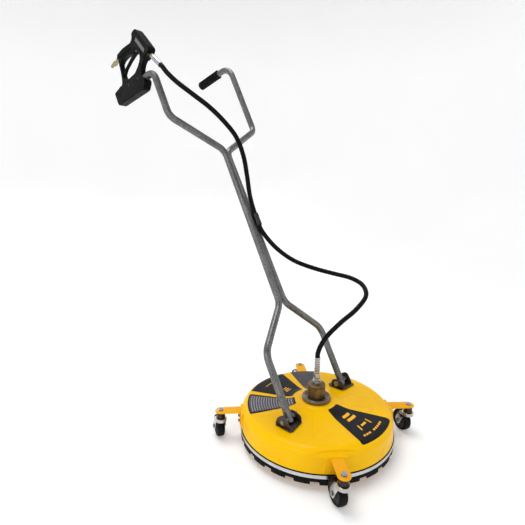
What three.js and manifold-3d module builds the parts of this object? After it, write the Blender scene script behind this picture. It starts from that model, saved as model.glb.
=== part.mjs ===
// Rotary surface cleaner: a round spray deck on four castors, with a push handle, a trigger gun and a hose.
// Millimetres, +Z up. X runs to the operator's right and Y forward. The origin is on the floor,
// below the middle of the whole machine; the deck's own axis stands DECK_Y in front of it.
import * as THREE from 'three';
import { mergeVertices } from 'three/addons/utils/BufferGeometryUtils.js';
import Module from 'manifold-3d';

const wasm = await Module();
wasm.setup();

// ---- Driving dimensions ----
const GAP = 0.3;
const DECK_Y = 300;

const DECK_R = 264;
const DECK_SIDES = 44;
const DECK_TOP = 129;
const DECK_FLOOR = 43;
const SHOULDER_R = 28.5;
const SHELL = 3;
const RAISED_RING_R = 60;
const RISE_R = 112;
const RISE_TOP = 142.5;
const CENTRE_HOLE_R = 27;
const LEDGE_DISTANCE = 249;
const LEDGE_Z = 112;
const PAD_FACE = 265.8;

const SKIRT_R = 265.6;
const SKIRT_THICKNESS = 3.6;
const SKIRT_BOTTOM = 19.5;
const SKIRT_TOP = 54.4;
const SKIRT_TEETH = 22;
const NOTCH_WIDTH = 27;
const NOTCH_DEPTH = 9;
const BAND_R = 267.2;
const BAND_TOP = 52.5;
const BAND_BOTTOM = 41.5;

const CASTORS = [['front_right', 46], ['front_left', 134], ['rear_left', 225], ['rear_right', 315]];
const CASTOR_R = 335;
const CASTOR_HEADING = THREE.MathUtils.degToRad(30);
const CASTOR_TRAIL = 28;
const WHEEL_R = 37.5;
const WHEEL_WIDTH = 28;
const AXLE_R = 5;
const ARM_TOP = 111;
const ARM_THICKNESS = 4;

const LEAN = THREE.MathUtils.degToRad(62.6);
const HANDLE_FOOT_Y = 15.2;
const HANDLE_FOOT_Z = 125.4;
const TUBE_R = 12.7;
const TUBE_BORE = 10.7;
const LEG_X = 165.4;
const HAND_X = 219;
const PIVOT_ALONG = 24;
const HOOK_DROP = THREE.MathUtils.degToRad(15);

const HOSE_R = 8.5;
const GUN_HALF = 15;
const BARREL_DROP = THREE.MathUtils.degToRad(38);

// ---- Materials ----
function paint(color, roughness, metalness) {
  return new THREE.MeshStandardMaterial({ color, roughness, metalness });
}


const YELLOW = paint(0xf2b705, 0.35, 0);
const ORANGE = paint(0xe8a021, 0.4, 0);
const BLACK_RUBBER = paint(0x151515, 0.75, 0);
const BLACK_PLASTIC = paint(0x17171a, 0.45, 0);
const TUBE_GREY = paint(0x6f7173, 0.45, 0.6);
const DARK_STEEL = paint(0x4a4645, 0.55, 0.5);
const BRONZE = paint(0x6a5a3c, 0.4, 0.8);
const STEEL = paint(0xb9bbbf, 0.25, 1);
const CHROME = paint(0xd5d6d8, 0.12, 1);
const BRASS = paint(0xb08d4a, 0.3, 1);
const LABEL_GREY = paint(0x77787a, 0.5, 0);

// ---- Solids ----
// Merges a geometry's shared vertices, drops collapsed triangles and turns its faces outwards.
function closed(geometry) {
  const bare = geometry.clone();
  bare.deleteAttribute('normal');
  bare.deleteAttribute('uv');
  const merged = mergeVertices(bare, 1e-3);
  const { array } = merged.index;
  const kept = [];
  for (let i = 0; i < array.length; i += 3) {
    const [a, b, c] = [array[i], array[i + 1], array[i + 2]];
    if (a !== b && b !== c && c !== a) kept.push(a, b, c);
  }
  const position = merged.attributes.position;
  const [p, q, r] = [new THREE.Vector3(), new THREE.Vector3(), new THREE.Vector3()];
  let volume = 0;
  for (let i = 0; i < kept.length; i += 3) {
    p.fromBufferAttribute(position, kept[i]);
    q.fromBufferAttribute(position, kept[i + 1]);
    r.fromBufferAttribute(position, kept[i + 2]);
    volume += p.dot(q.cross(r));
  }
  if (volume < 0) kept.reverse();
  merged.setIndex(kept);
  return merged;
}

function toManifold(geometry) {
  const mesh = closed(geometry);
  const vertProperties = new Float32Array(mesh.attributes.position.array);
  const triVerts = new Uint32Array(mesh.index.array);
  return new wasm.Manifold(new wasm.Mesh({ numProp: 3, vertProperties, triVerts }));
}

function toGeometry(manifold) {
  const mesh = manifold.getMesh();
  const geometry = new THREE.BufferGeometry();
  geometry.setAttribute('position', new THREE.BufferAttribute(new Float32Array(mesh.vertProperties), 3));
  geometry.setIndex(new THREE.BufferAttribute(new Uint32Array(mesh.triVerts), 1));
  return geometry;
}

function join(first, ...others) {
  return toGeometry(others.reduce((sum, g) => sum.add(toManifold(g)), toManifold(first)));
}

function cut(first, ...others) {
  return toGeometry(others.reduce((rest, g) => rest.subtract(toManifold(g)), toManifold(first)));
}

// A solid or ring turned about Z from a profile of [radius, height] points.
function lathe(profile, sides) {
  const points = profile.map(([r, z]) => new THREE.Vector2(r, z));
  return closed(new THREE.LatheGeometry(points, sides).rotateX(Math.PI / 2));
}

function ring(inner, outer, bottom, top, sides) {
  return lathe([[inner, bottom], [outer, bottom], [outer, top], [inner, top], [inner, bottom]], sides);
}

function disc(radius, bottom, top, sides) {
  return lathe([[0, bottom], [radius, bottom], [radius, top], [0, top]], sides);
}

function box(x0, x1, y0, y1, z0, z1) {
  return closed(new THREE.BoxGeometry(x1 - x0, y1 - y0, z1 - z0)
    .translate((x0 + x1) / 2, (y0 + y1) / 2, (z0 + z1) / 2));
}

function vector(x, y, z) {
  return new THREE.Vector3(x, y, z);
}

// Moves a solid built along Z so that its Z runs along a direction from a point.
function aim(geometry, from, direction) {
  const turn = new THREE.Quaternion().setFromUnitVectors(vector(0, 0, 1), direction.clone().normalize());
  return geometry.clone().applyQuaternion(turn).translate(from.x, from.y, from.z);
}

// A plate drawn in the Y-Z plane from [y, z] points and filling x0 to x1.
function sidePlate(points, x0, x1, radius = 0) {
  const shape = roundedShape(points, radius);
  const plate = new THREE.ExtrudeGeometry(shape, { depth: x1 - x0, bevelEnabled: false, curveSegments: 2 });
  const turn = new THREE.Matrix4().makeBasis(vector(0, 1, 0), vector(0, 0, 1), vector(1, 0, 0));
  return closed(plate.applyMatrix4(turn).translate(x0, 0, 0));
}

// A plate drawn in the X-Y plane from [x, y] points and filling z0 to z1.
function flatPlate(points, z0, z1, radius = 0) {
  const shape = roundedShape(points, radius);
  const options = { depth: z1 - z0, bevelEnabled: false, curveSegments: 3 };
  return closed(new THREE.ExtrudeGeometry(shape, options).translate(0, 0, z0));
}

// A closed outline whose corners are rounded by up to the given radius.
function roundedShape(points, radius) {
  const shape = new THREE.Shape();
  const corners = points.map(([a, b]) => new THREE.Vector2(a, b));
  corners.forEach((corner, i) => {
    const before = corners[(i + corners.length - 1) % corners.length];
    const after = corners[(i + 1) % corners.length];
    const room = Math.min(corner.distanceTo(before), corner.distanceTo(after)) / 2.2;
    const trim = Math.min(radius, room);
    const start = corner.clone().add(before.clone().sub(corner).setLength(trim));
    const end = corner.clone().add(after.clone().sub(corner).setLength(trim));
    if (i === 0) shape.moveTo(start.x, start.y);
    else shape.lineTo(start.x, start.y);
    if (trim > 0) shape.quadraticCurveTo(corner.x, corner.y, end.x, end.y);
  });
  shape.closePath();
  return shape;
}

// A centre line through stations: straight runs keep only their ends and bends are stepped finely.
class StationCurve extends THREE.Curve {
  constructor(places, tangents) {
    super();
    this.places = places;
    this.tangents = tangents;
  }

  getPointAt(u) {
    return this.places[Math.round(u * (this.places.length - 1))].clone();
  }

  getTangentAt(u) {
    return this.tangents[Math.round(u * (this.places.length - 1))].clone();
  }
}

// The stations of a line of straight runs joined by arcs: corners are { at, bend radius }.
function bentLine(corners, stepsPerBend) {
  const places = [corners[0].at];
  const tangents = [corners[1].at.clone().sub(corners[0].at).normalize()];
  for (let i = 1; i < corners.length - 1; i++) {
    const corner = corners[i].at;
    const into = corner.clone().sub(corners[i - 1].at).normalize();
    const out = corners[i + 1].at.clone().sub(corner).normalize();
    const angle = into.angleTo(out);
    const reach = corners[i].bend * Math.tan(angle / 2);
    const start = corner.clone().addScaledVector(into, -reach);
    const inward = out.clone().addScaledVector(into, -out.dot(into)).normalize();
    for (let step = 0; step <= stepsPerBend; step++) {
      const turn = (angle * step) / stepsPerBend;
      const place = start.clone().addScaledVector(into, corners[i].bend * Math.sin(turn));
      places.push(place.addScaledVector(inward, corners[i].bend * (1 - Math.cos(turn))));
      tangents.push(into.clone().multiplyScalar(Math.cos(turn)).addScaledVector(inward, Math.sin(turn)));
    }
  }
  const last = corners.length - 1;
  places.push(corners[last].at);
  tangents.push(corners[last].at.clone().sub(corners[last - 1].at).normalize());
  return new StationCurve(places, tangents);
}

// A round section swept along a station curve, hollow when it has a bore.
function sweep(curve, radius, bore, sides) {
  const section = new THREE.Shape();
  const hole = new THREE.Path();
  for (let i = 0; i < sides; i++) {
    const turn = (2 * Math.PI * i) / sides;
    const [c, s] = [Math.cos(turn), Math.sin(turn)];
    if (i === 0) section.moveTo(radius * c, radius * s);
    else section.lineTo(radius * c, radius * s);
    if (i === 0) hole.moveTo(bore * c, bore * s);
    else hole.lineTo(bore * c, bore * s);
  }
  if (bore > 0) section.holes.push(hole);
  const options = { steps: curve.places.length - 1, extrudePath: curve, bevelEnabled: false };
  return closed(new THREE.ExtrudeGeometry(section, options));
}

const machine = new THREE.Group();
const deck = new THREE.Group();
deck.position.y = DECK_Y;
machine.add(deck);

function place(parent, name, geometry, material) {
  const mesh = new THREE.Mesh(geometry, material);
  mesh.name = name;
  parent.add(mesh);
  return mesh;
}

// ---- Deck: shell, rubber skirt and clamp band ----
function shoulder(radius, from, to, steps) {
  const points = [];
  for (let i = 0; i <= steps; i++) {
    const turn = THREE.MathUtils.lerp(from, to, i / steps);
    points.push([
      DECK_R - 2.5 - SHOULDER_R + radius * Math.cos(turn),
      DECK_TOP - 1 - SHOULDER_R + radius * Math.sin(turn),
    ]);
  }
  return points;
}

// The shell is the outer form less the inner one, so that it keeps its thickness round the ledges.
function deckShell() {
  const quarter = Math.PI / 2;
  const lip = SKIRT_R - SKIRT_THICKNESS - GAP;
  const outer = lathe([
    [0, DECK_FLOOR],
    [lip, DECK_FLOOR],
    [lip, SKIRT_TOP + 0.4],
    [DECK_R, SKIRT_TOP + 0.4],
    ...shoulder(SHOULDER_R, 0, quarter, 4),
    [RISE_R, DECK_TOP + 0.4],
    [RAISED_RING_R + 4, RISE_TOP - 2.5],
    [RAISED_RING_R, RISE_TOP],
    [0, RISE_TOP],
  ], DECK_SIDES);
  const inner = lathe([
    [0, DECK_FLOOR - 5],
    [lip - SHELL, DECK_FLOOR - 5],
    ...shoulder(SHOULDER_R - SHELL, 0, quarter, 2),
    [RISE_R, DECK_TOP - 2.6],
    [RAISED_RING_R, RISE_TOP - 5.5],
    [0, RISE_TOP - SHELL],
  ], DECK_SIDES);
  const ledges = [];
  const recesses = [];
  const pads = [];
  for (const [, degrees] of CASTORS) {
    const turn = THREE.MathUtils.degToRad(degrees);
    const ledge = (offset) => box(LEDGE_DISTANCE - offset, LEDGE_DISTANCE + 40, -110, 110,
      LEDGE_Z - offset, DECK_TOP + 20).rotateZ(turn);
    ledges.push(ledge(0));
    recesses.push(ledge(SHELL));
    pads.push(box(LEDGE_DISTANCE + 6, PAD_FACE, -37, 37, 60, LEDGE_Z).rotateZ(turn));
  }
  const hole = disc(CENTRE_HOLE_R, DECK_FLOOR, DECK_TOP + 20, 20);
  return join(cut(outer, ...ledges, cut(inner, ...recesses), hole), ...pads);
}

function skirt() {
  const notches = [];
  for (let i = 0; i < SKIRT_TEETH; i++) {
    const notch = box(SKIRT_R - 10, SKIRT_R + 10, -NOTCH_WIDTH / 2, NOTCH_WIDTH / 2,
      SKIRT_BOTTOM - 5, SKIRT_BOTTOM + NOTCH_DEPTH);
    notches.push(notch.rotateZ((2 * Math.PI * i) / SKIRT_TEETH));
  }
  return cut(ring(SKIRT_R - SKIRT_THICKNESS, SKIRT_R, SKIRT_BOTTOM, SKIRT_TOP, DECK_SIDES), ...notches);
}

function bandScrew() {
  const y = -BAND_R - GAP;
  const block = box(-14, 14, y - 9, y, BAND_BOTTOM, BAND_TOP);
  const worm = aim(disc(4.5, 0, 40, 10), vector(-20, y - 4.5, (BAND_BOTTOM + BAND_TOP) / 2), vector(1, 0, 0));
  return join(block, worm);
}

place(deck, 'deck_shell', deckShell(), YELLOW);
place(deck, 'rubber_skirt', skirt(), BLACK_RUBBER);
place(deck, 'clamp_band', ring(SKIRT_R + GAP, BAND_R, BAND_BOTTOM, BAND_TOP, DECK_SIDES), STEEL);
place(deck, 'band_screw', bandScrew(), STEEL);

// ---- Rotary swivel through the middle of the deck ----
const FLANGE_BOTTOM = RISE_TOP + GAP;
const FLANGE_TOP = 155.5;
const BODY_SEAT = 150.7;
const BODY_TOP = 201;
const HUB_TOP = 84;

const flangeProfile = [
  [25.8, FLANGE_BOTTOM], [50, FLANGE_BOTTOM], [50, FLANGE_TOP - 2], [48, FLANGE_TOP], [39.5, FLANGE_TOP],
  [37.6, BODY_SEAT], [25.8, BODY_SEAT], [25.8, FLANGE_BOTTOM],
];
const bodyProfile = [
  [20.3, 110], [25.5, 110], [25.5, BODY_SEAT + GAP], [30.4, BODY_SEAT + GAP], [30.4, BODY_TOP - 3],
  [28, BODY_TOP], [8, BODY_TOP], [8, 179], [20.3, 179], [20.3, 110],
];
place(deck, 'swivel_flange', lathe(flangeProfile, 24), DARK_STEEL);
place(deck, 'swivel_body', lathe(bodyProfile, 24), BRONZE);
place(deck, 'upper_bearing', ring(10.3, 20, 158, 170, 16), STEEL);
place(deck, 'lower_bearing', ring(10.3, 20, 114, 126, 16), STEEL);
place(deck, 'shaft_seal', ring(10.3, 20, 171, 177, 16), BLACK_RUBBER);

function ferrule(length) {
  return lathe([[0, 0], [8, 0], [10, 6], [10, length - 4], [9.4, length], [0, length]], 12);
}

const adapterProfile = [[0, BODY_TOP + GAP], [17, BODY_TOP + GAP], [17, 212], [12, 216], [12, 222],
  [0, 222]];
place(deck, 'inlet_adapter', lathe(adapterProfile, 6), STEEL);
place(deck, 'hose_nut', disc(12, 222 + GAP, 241, 6), STEEL);
const HOSE_START = 298;
const LOWER_FERRULE_LENGTH = HOSE_START - 241 - 2 * GAP;
place(deck, 'lower_ferrule', ferrule(LOWER_FERRULE_LENGTH).translate(0, 0, 241 + GAP), CHROME);

// ---- Rotor: hollow shaft, hub, two spray arms and their nozzles ----
place(deck, 'rotor_shaft', ring(4, 10, 70, 176, 16), STEEL);
const hubProfile = [[0, 56], [22, 56], [24, 58], [24, HUB_TOP], [10.3, HUB_TOP], [10.3, 69.6], [0, 69.6]];
place(deck, 'rotor_hub', lathe(hubProfile, 16), STEEL);
const ARM_Z = 66;
for (const [side, name] of [[1, 'right'], [-1, 'left']]) {
  const route = bentLine([
    { at: vector(side * (24 + GAP), 0, ARM_Z) },
    { at: vector(side * 205, 0, ARM_Z), bend: 14 },
    { at: vector(side * 205, side * 7, ARM_Z - 21) },
  ], 3);
  place(deck, `spray_arm_${name}`, sweep(route, 6, 0, 8), STEEL);
  const down = vector(0, side * 7, -21).normalize();
  const tip = vector(side * 205, side * 7, ARM_Z - 21).addScaledVector(down, GAP);
  place(deck, `nozzle_${name}`, aim(disc(7, 0, 11, 6), tip, down), BRASS);
}

// ---- Castors, near the four diagonals ----
function castorArm() {
  const half = 19.5;
  const near = PAD_FACE + GAP;
  const end = CASTOR_R + half;
  const plate = flatPlate([[near, -half], [end, -half], [end, half], [near, half]],
    ARM_TOP - ARM_THICKNESS, ARM_TOP, 18);
  const root = box(near, near + 20, -half, half, ARM_TOP - ARM_THICKNESS, ARM_TOP);
  const flange = box(near, near + ARM_THICKNESS, -half, half, 64, ARM_TOP);
  const hole = disc(AXLE_R + GAP, 90, 120, 10).translate(CASTOR_R, 0, 0);
  return cut(join(plate, root, flange), hole);
}

// Built with the swivel axis on Z and the wheel trailing towards -Y.
function castorFork() {
  const side = WHEEL_WIDTH / 2 + 2.5;
  const leg = [[-19, 83], [-CASTOR_TRAIL - 12, 46], [-CASTOR_TRAIL - 10, 32], [-CASTOR_TRAIL + 1, 23],
    [-CASTOR_TRAIL + 10, 28], [-CASTOR_TRAIL + 15, 42], [6, 76], [6, 83]];
  const legs = [-side - 2.5, side].map((x) => sidePlate(leg, x, x + 2.5, 8));
  const crown = disc(20, 77, 84, 18);
  const cup = lathe([[0, 83], [14.5, 83], [14.5, 103], [12.5, 106.4], [0, 106.4]], 14);
  const pinHole = disc(AXLE_R + GAP, 70, 120, 10);
  const axleHole = aim(disc(AXLE_R + GAP, -40, 40, 10), vector(0, -CASTOR_TRAIL, WHEEL_R), vector(1, 0, 0));
  return cut(join(crown, ...legs, cup), pinHole, axleHole);
}

function castorWheel() {
  const half = WHEEL_WIDTH / 2;
  const profile = [[AXLE_R + GAP, -half], [28, -half], [34, -half + 1], [WHEEL_R, -half + 6],
    [WHEEL_R, half - 6], [34, half - 1], [28, half], [AXLE_R + GAP, half], [AXLE_R + GAP, -half]];
  return aim(lathe(profile, 24), vector(0, -CASTOR_TRAIL, WHEEL_R), vector(1, 0, 0));
}

function castorAxle() {
  const profile = [[0, -23], [8, -23], [8, -19.5], [AXLE_R, -19.5], [AXLE_R, 19.5], [8, 19.5], [8, 23],
    [0, 23]];
  return aim(lathe(profile, 10), vector(0, -CASTOR_TRAIL, WHEEL_R), vector(1, 0, 0));
}

const kingpinProfile = [[0, 84], [AXLE_R, 84], [AXLE_R, ARM_TOP + GAP], [10, ARM_TOP + GAP],
  [10, ARM_TOP + 6.5], [8, ARM_TOP + 8], [0, ARM_TOP + 8]];
for (const [name, degrees] of CASTORS) {
  const turn = THREE.MathUtils.degToRad(degrees);
  place(deck, `castor_arm_${name}`, castorArm(), ORANGE).rotation.z = turn;
  const pivot = new THREE.Group();
  pivot.position.set(CASTOR_R * Math.cos(turn), CASTOR_R * Math.sin(turn), 0);
  pivot.rotation.z = -CASTOR_HEADING;
  deck.add(pivot);
  place(pivot, `kingpin_${name}`, lathe(kingpinProfile, 10), STEEL);
  place(pivot, `castor_fork_${name}`, castorFork(), CHROME);
  place(pivot, `castor_wheel_${name}`, castorWheel(), BLACK_RUBBER);
  place(pivot, `castor_axle_${name}`, castorAxle(), STEEL);
}

// ---- Handle: points are given across (X), along the lean, and out from the handle's plane ----
const handleUp = vector(0, -Math.cos(LEAN), Math.sin(LEAN));
const handleOut = vector(0, Math.sin(LEAN), Math.cos(LEAN));
function onHandle(x, along, out = 0) {
  const foot = vector(x, HANDLE_FOOT_Y, HANDLE_FOOT_Z);
  return foot.addScaledVector(handleUp, along).addScaledVector(handleOut, out);
}

const pivotPoint = onHandle(0, PIVOT_ALONG);
const hook = vector(0, -Math.cos(HOOK_DROP), -Math.sin(HOOK_DROP));

// side is +1 on the right. The tubes run close together between the two spreads, one a little behind.
function handleTube(side, hookAlong, hookBend, hookLength, out) {
  const top = onHandle(side * HAND_X, hookAlong);
  return sweep(bentLine([
    { at: onHandle(side * LEG_X, PIVOT_ALONG - 11) },
    { at: onHandle(side * LEG_X, 239), bend: 70 },
    { at: onHandle(side * 13.4, 379), bend: 60 },
    { at: onHandle(side * 11.5, 998, out), bend: 45 },
    { at: onHandle(side * HAND_X, 1116), bend: 40 },
    { at: top, bend: hookBend },
    { at: top.clone().addScaledVector(hook, hookLength) },
  ], 3), TUBE_R, TUBE_BORE, 10);
}

function pivotBore(side) {
  const start = vector(side * LEG_X, pivotPoint.y, pivotPoint.z);
  return aim(disc(6 + GAP, -45, 45, 10), start, vector(1, 0, 0));
}

const GUN_HOOK = onHandle(HAND_X, 1297);
const GRIP_HOOK = onHandle(-HAND_X, 1440);
place(deck, 'handle_tube_right', cut(handleTube(1, 1297, 40, 160, 5), pivotBore(1)), TUBE_GREY);
place(deck, 'handle_tube_left', cut(handleTube(-1, 1440, 60, 192, -7), pivotBore(-1)), TUBE_GREY);

const gripProfile = [[TUBE_R + GAP, 0], [18, 0], [19, 2], [19, 122], [15, 128], [0, 128],
  [0, 125], [TUBE_R + GAP, 125], [TUBE_R + GAP, 0]];
place(deck, 'hand_grip', aim(lathe(gripProfile, 16),
  GRIP_HOOK.clone().addScaledVector(hook, 70), hook), BLACK_RUBBER);

// ---- Brackets that hold the handle's feet, and their pivot bolts ----
const BRACKET_BOTTOM = DECK_TOP + 1.4;
const BRACKET_TOP = BRACKET_BOTTOM + 3;
const INNER_EAR = 137;
const OUTER_EAR = 195;
const EAR_THICKNESS = 4;
function bracket(side) {
  const plate = [[128, -24], [140, -34], [192, -30], [203, -20], [205, 38], [196, 43], [140, 36],
    [128, 28]];
  const base = flatPlate(plate.map(([x, y]) => [side * x, y]), BRACKET_BOTTOM, BRACKET_TOP, 3);
  const inner = [[-22, BRACKET_TOP - 1], [-18, 156], [-4, 162], [12, 160], [33, 153],
    [35, BRACKET_TOP - 1]];
  const outer = [[-23, BRACKET_TOP - 1], [-20, 152], [-10, 163], [3, 171], [14, 169], [22, 158],
    [36, BRACKET_TOP - 1]];
  const ears = [[inner, INNER_EAR], [outer, OUTER_EAR]].map(([outline, x]) => {
    const middle = side * (x + EAR_THICKNESS / 2);
    return sidePlate(outline, middle - EAR_THICKNESS / 2, middle + EAR_THICKNESS / 2, 8);
  });
  const window = box(side * LEG_X - 15, side * LEG_X + 15, -14, 23, BRACKET_BOTTOM - 2, BRACKET_TOP + 2);
  return cut(join(base, ...ears), window, pivotBore(side));
}

// The bolt's heads lie outside the ears and its two collars keep the tube centred between them.
const pivotBoltProfile = [[0, -38], [10, -38], [10, -28.7], [6, -28.7], [6, -24.1], [9, -24.1], [9, -13.3],
  [6, -13.3], [6, 13.3], [9, 13.3], [9, 29.3], [6, 29.3], [6, 33.9], [8, 33.9], [8, 38.5], [0, 38.5]];
for (const [side, name] of [[1, 'right'], [-1, 'left']]) {
  place(deck, `handle_bracket_${name}`, bracket(side), DARK_STEEL);
  const centre = vector(side * LEG_X, pivotPoint.y, pivotPoint.z);
  place(deck, `pivot_bolt_${name}`, aim(lathe(pivotBoltProfile, 10), centre, vector(side, 0, 0)), STEEL);
}

// ---- Hose guide on the handle ----
const GUIDE_ALONG = 700;
const GUIDE_X = -8;
const GUIDE_OUT = 21;
place(deck, 'hose_guide', aim(ring(HOSE_R + 2 * GAP, 11.8, -23, 23, 12),
  onHandle(GUIDE_X, GUIDE_ALONG, GUIDE_OUT), handleUp), STEEL);

// ---- Trigger gun: drawn in the Y-Z plane at the end of the right handle tube ----
const VALVE_OUTLET = vector(HAND_X, -597, 1336);
const barrel = vector(0, Math.cos(BARREL_DROP), -Math.sin(BARREL_DROP));
const TRIGGER_PIVOT = [-672, 1360];
const TRIGGER_HALF = 5;
const TRIGGER_TRAVEL = THREE.MathUtils.degToRad(9);

const gunOutline = [
  [-665, 1433], [-582, 1352], [-591, 1337], [-620, 1324], [-638, 1308], [-645, 1290], [-634, 1268],
  [-613, 1250], [-626, 1221], [-803, 1187], [-829, 1237], [-787, 1253], [-777, 1268], [-781, 1298],
  [-796, 1345], [-799, 1371], [-754, 1386], [-699, 1393], [-688, 1404], [-691, 1422],
];
const fingerOpening = [
  [-653, 1350], [-649, 1330], [-663, 1308], [-686, 1287], [-733, 1274], [-762, 1282], [-771, 1300],
  [-781, 1322], [-784, 1338], [-768, 1349], [-745, 1356], [-712, 1358], [-688, 1362],
];
// The waist around the opening, where the shells are thinner than elsewhere.
const WAIST_HALF = 10;
const waistOutline = [
  [-660, 1366], [-644, 1350], [-640, 1332], [-606, 1312], [-612, 1288], [-650, 1277], [-700, 1264],
  [-745, 1256], [-815, 1256], [-815, 1352], [-765, 1364], [-700, 1374],
];

// The trigger's outline as a tapering ribbon from its pivot to its tip; margin widens it for a pocket.
function triggerOutline(margin) {
  const line = [[-664, 1364, 9], [-690, 1356, 6.5], [-723, 1336, 4.8], [-754, 1315, 4.8], [-766, 1297, 5]];
  const sides = [[], []];
  line.forEach(([y, z, half], i) => {
    const before = line[Math.max(i - 1, 0)];
    const after = line[Math.min(i + 1, line.length - 1)];
    const run = new THREE.Vector2(after[0] - before[0], after[1] - before[1]).normalize();
    const end = i === 0 ? -margin : i === line.length - 1 ? margin : 0;
    const [cy, cz] = [y + run.x * end, z + run.y * end];
    sides[0].push([cy - run.y * (half + margin), cz + run.x * (half + margin)]);
    sides[1].unshift([cy + run.y * (half + margin), cz - run.x * (half + margin)]);
  });
  return [...sides[0], ...sides[1]];
}

function trigger() {
  const body = sidePlate(triggerOutline(0), HAND_X - TRIGGER_HALF, HAND_X + TRIGGER_HALF, 5);
  return cut(body, crossPin(3 + GAP, -20, 20));
}

function crossPin(radius, from, to) {
  return aim(disc(radius, from, to, 10), vector(HAND_X, ...TRIGGER_PIVOT), vector(1, 0, 0));
}

// The space that the trigger needs inside the shells, from released to fully squeezed.
function triggerPocket() {
  const half = TRIGGER_HALF + 0.8;
  const swept = [0, 0.5, 1].map((part) => sidePlate(triggerOutline(1.6), HAND_X - half, HAND_X + half, 5)
    .translate(0, -TRIGGER_PIVOT[0], -TRIGGER_PIVOT[1])
    .rotateX(-TRIGGER_TRAVEL * part)
    .translate(0, TRIGGER_PIVOT[0], TRIGGER_PIVOT[1]));
  return join(...swept);
}

const inlet = vector(0, -Math.cos(HOOK_DROP), -Math.sin(HOOK_DROP));
const INLET_END = vector(HAND_X, -799.5, 1361);

function gunShell(side) {
  const [x0, x1] = side > 0 ? [GAP / 2, GUN_HALF] : [-GUN_HALF, -GAP / 2];
  const plate = sidePlate(gunOutline, HAND_X + x0, HAND_X + x1, 9);
  const opening = sidePlate(fingerOpening, HAND_X - 20, HAND_X + 20, 6);
  const [waist0, waist1] = side > 0 ? [WAIST_HALF, 20] : [-20, -WAIST_HALF];
  const waist = sidePlate(waistOutline, HAND_X + waist0, HAND_X + waist1, 6);
  const valveRoom = aim(disc(9 + GAP, -90, 30, 12), VALVE_OUTLET, barrel);
  const pipeRoom = aim(disc(6 + GAP, -110, 20, 10), INLET_END, inlet);
  const tubeRoom = aim(disc(TUBE_R + 3 * GAP, 25, 162, 12), GUN_HOOK, hook);
  return cut(plate, opening, waist, triggerPocket(), valveRoom, pipeRoom, tubeRoom,
    crossPin(3 + GAP, -20, 20));
}

place(deck, 'gun_shell_right', gunShell(1), BLACK_PLASTIC);
place(deck, 'gun_shell_left', gunShell(-1), BLACK_PLASTIC);
place(deck, 'gun_trigger', trigger(), BLACK_PLASTIC);
place(deck, 'trigger_pin', crossPin(3, -9.7, 9.7), STEEL);
place(deck, 'gun_valve', aim(disc(9, -88, -GAP, 12), VALVE_OUTLET, barrel), BRASS);
place(deck, 'gun_inlet_pipe', aim(disc(6, -96, -GAP, 10), INLET_END, inlet), BRASS);
place(deck, 'gun_outlet', aim(disc(9, 0, 15, 6), VALVE_OUTLET, barrel), BRASS);

const plugProfile = [[0, 0], [10, 0], [10, 14], [7, 15], [7, 30], [9, 33], [9, 44], [6.5, 48], [6.5, 60],
  [5.5, 66], [0, 66]];
place(deck, 'gun_inlet_plug', aim(lathe(plugProfile, 12), INLET_END, inlet), BRASS);

const labelPlate = flatPlate([[-36, -6.5], [36, -6.5], [36, 6.5], [-36, 6.5]], 0, 0.6, 2)
  .rotateZ(-Math.PI / 4)
  .applyMatrix4(new THREE.Matrix4().makeBasis(vector(0, 1, 0), vector(0, 0, 1), vector(1, 0, 0)))
  .translate(HAND_X + GUN_HALF + GAP, -637, 1371);
place(deck, 'gun_label_plate', closed(labelPlate), LABEL_GREY);

const UPPER_FERRULE_LENGTH = 62;
const upperFerruleStart = VALVE_OUTLET.clone().addScaledVector(barrel, 15 + GAP);
place(deck, 'upper_ferrule', aim(ferrule(UPPER_FERRULE_LENGTH), upperFerruleStart, barrel), CHROME);

// ---- Hose: its route from the swivel to the guide, and on from the guide to the gun ----
const alongGuide = (offset) => onHandle(GUIDE_X, GUIDE_ALONG + offset, GUIDE_OUT);
const lowerRoute = [
  vector(0, 0, HOSE_START), vector(0, 0, HOSE_START + 12), vector(-8, 4, 334), vector(-32, 14, 367),
  vector(-83, 38, 410), vector(-145, 63, 449), vector(-207, 68, 489), vector(-239, 36, 517),
  vector(-236, -8, 536), vector(-213, -75, 549), vector(-170, -138, 568), vector(-111, -189, 599),
  vector(-56, -226, 645), vector(-22, -250, 688), alongGuide(-38), alongGuide(-20), alongGuide(0),
];
const hoseEnd = upperFerruleStart.clone().addScaledVector(barrel, UPPER_FERRULE_LENGTH + GAP);
const upperRoute = [
  alongGuide(0), alongGuide(20), alongGuide(38), vector(0, -318, 843), vector(8, -325, 915),
  vector(19, -333, 987), vector(43, -346, 1052), vector(81, -372, 1106), vector(123, -400, 1150),
  vector(161, -440, 1190), vector(194, -486, 1232), vector(212, -514, 1263),
  hoseEnd.clone().addScaledVector(barrel, 12), hoseEnd,
];

// Stations evenly spaced along a smooth curve, trimmed by a gap at each end.
function smoothLine(points, spacing) {
  const curve = new THREE.CatmullRomCurve3(points, false, 'centripetal');
  const length = curve.getLength();
  const steps = Math.round(length / spacing);
  const places = [];
  const tangents = [];
  for (let i = 0; i <= steps; i++) {
    const u = THREE.MathUtils.lerp(GAP / length, 1 - GAP / length, i / steps);
    places.push(curve.getPointAt(u));
    tangents.push(curve.getTangentAt(u));
  }
  return new StationCurve(places, tangents);
}

place(deck, 'hose_lower', sweep(smoothLine(lowerRoute, 34), HOSE_R, 0, 8), BLACK_RUBBER);
place(deck, 'hose_upper', sweep(smoothLine(upperRoute, 34), HOSE_R, 0, 8), BLACK_RUBBER);

export default machine;
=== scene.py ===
"""Looks of a rotary surface cleaner: spray deck, castors, push handle, trigger gun and hose.

Lengths below are millimetres about the deck's own upright axis; row() turns them into the frame's metres.
"""

from math import cos, degrees, exp, pi, radians, sin, sqrt, tan
import random

import bmesh
import bpy
from mathutils import Matrix, Vector


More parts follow.
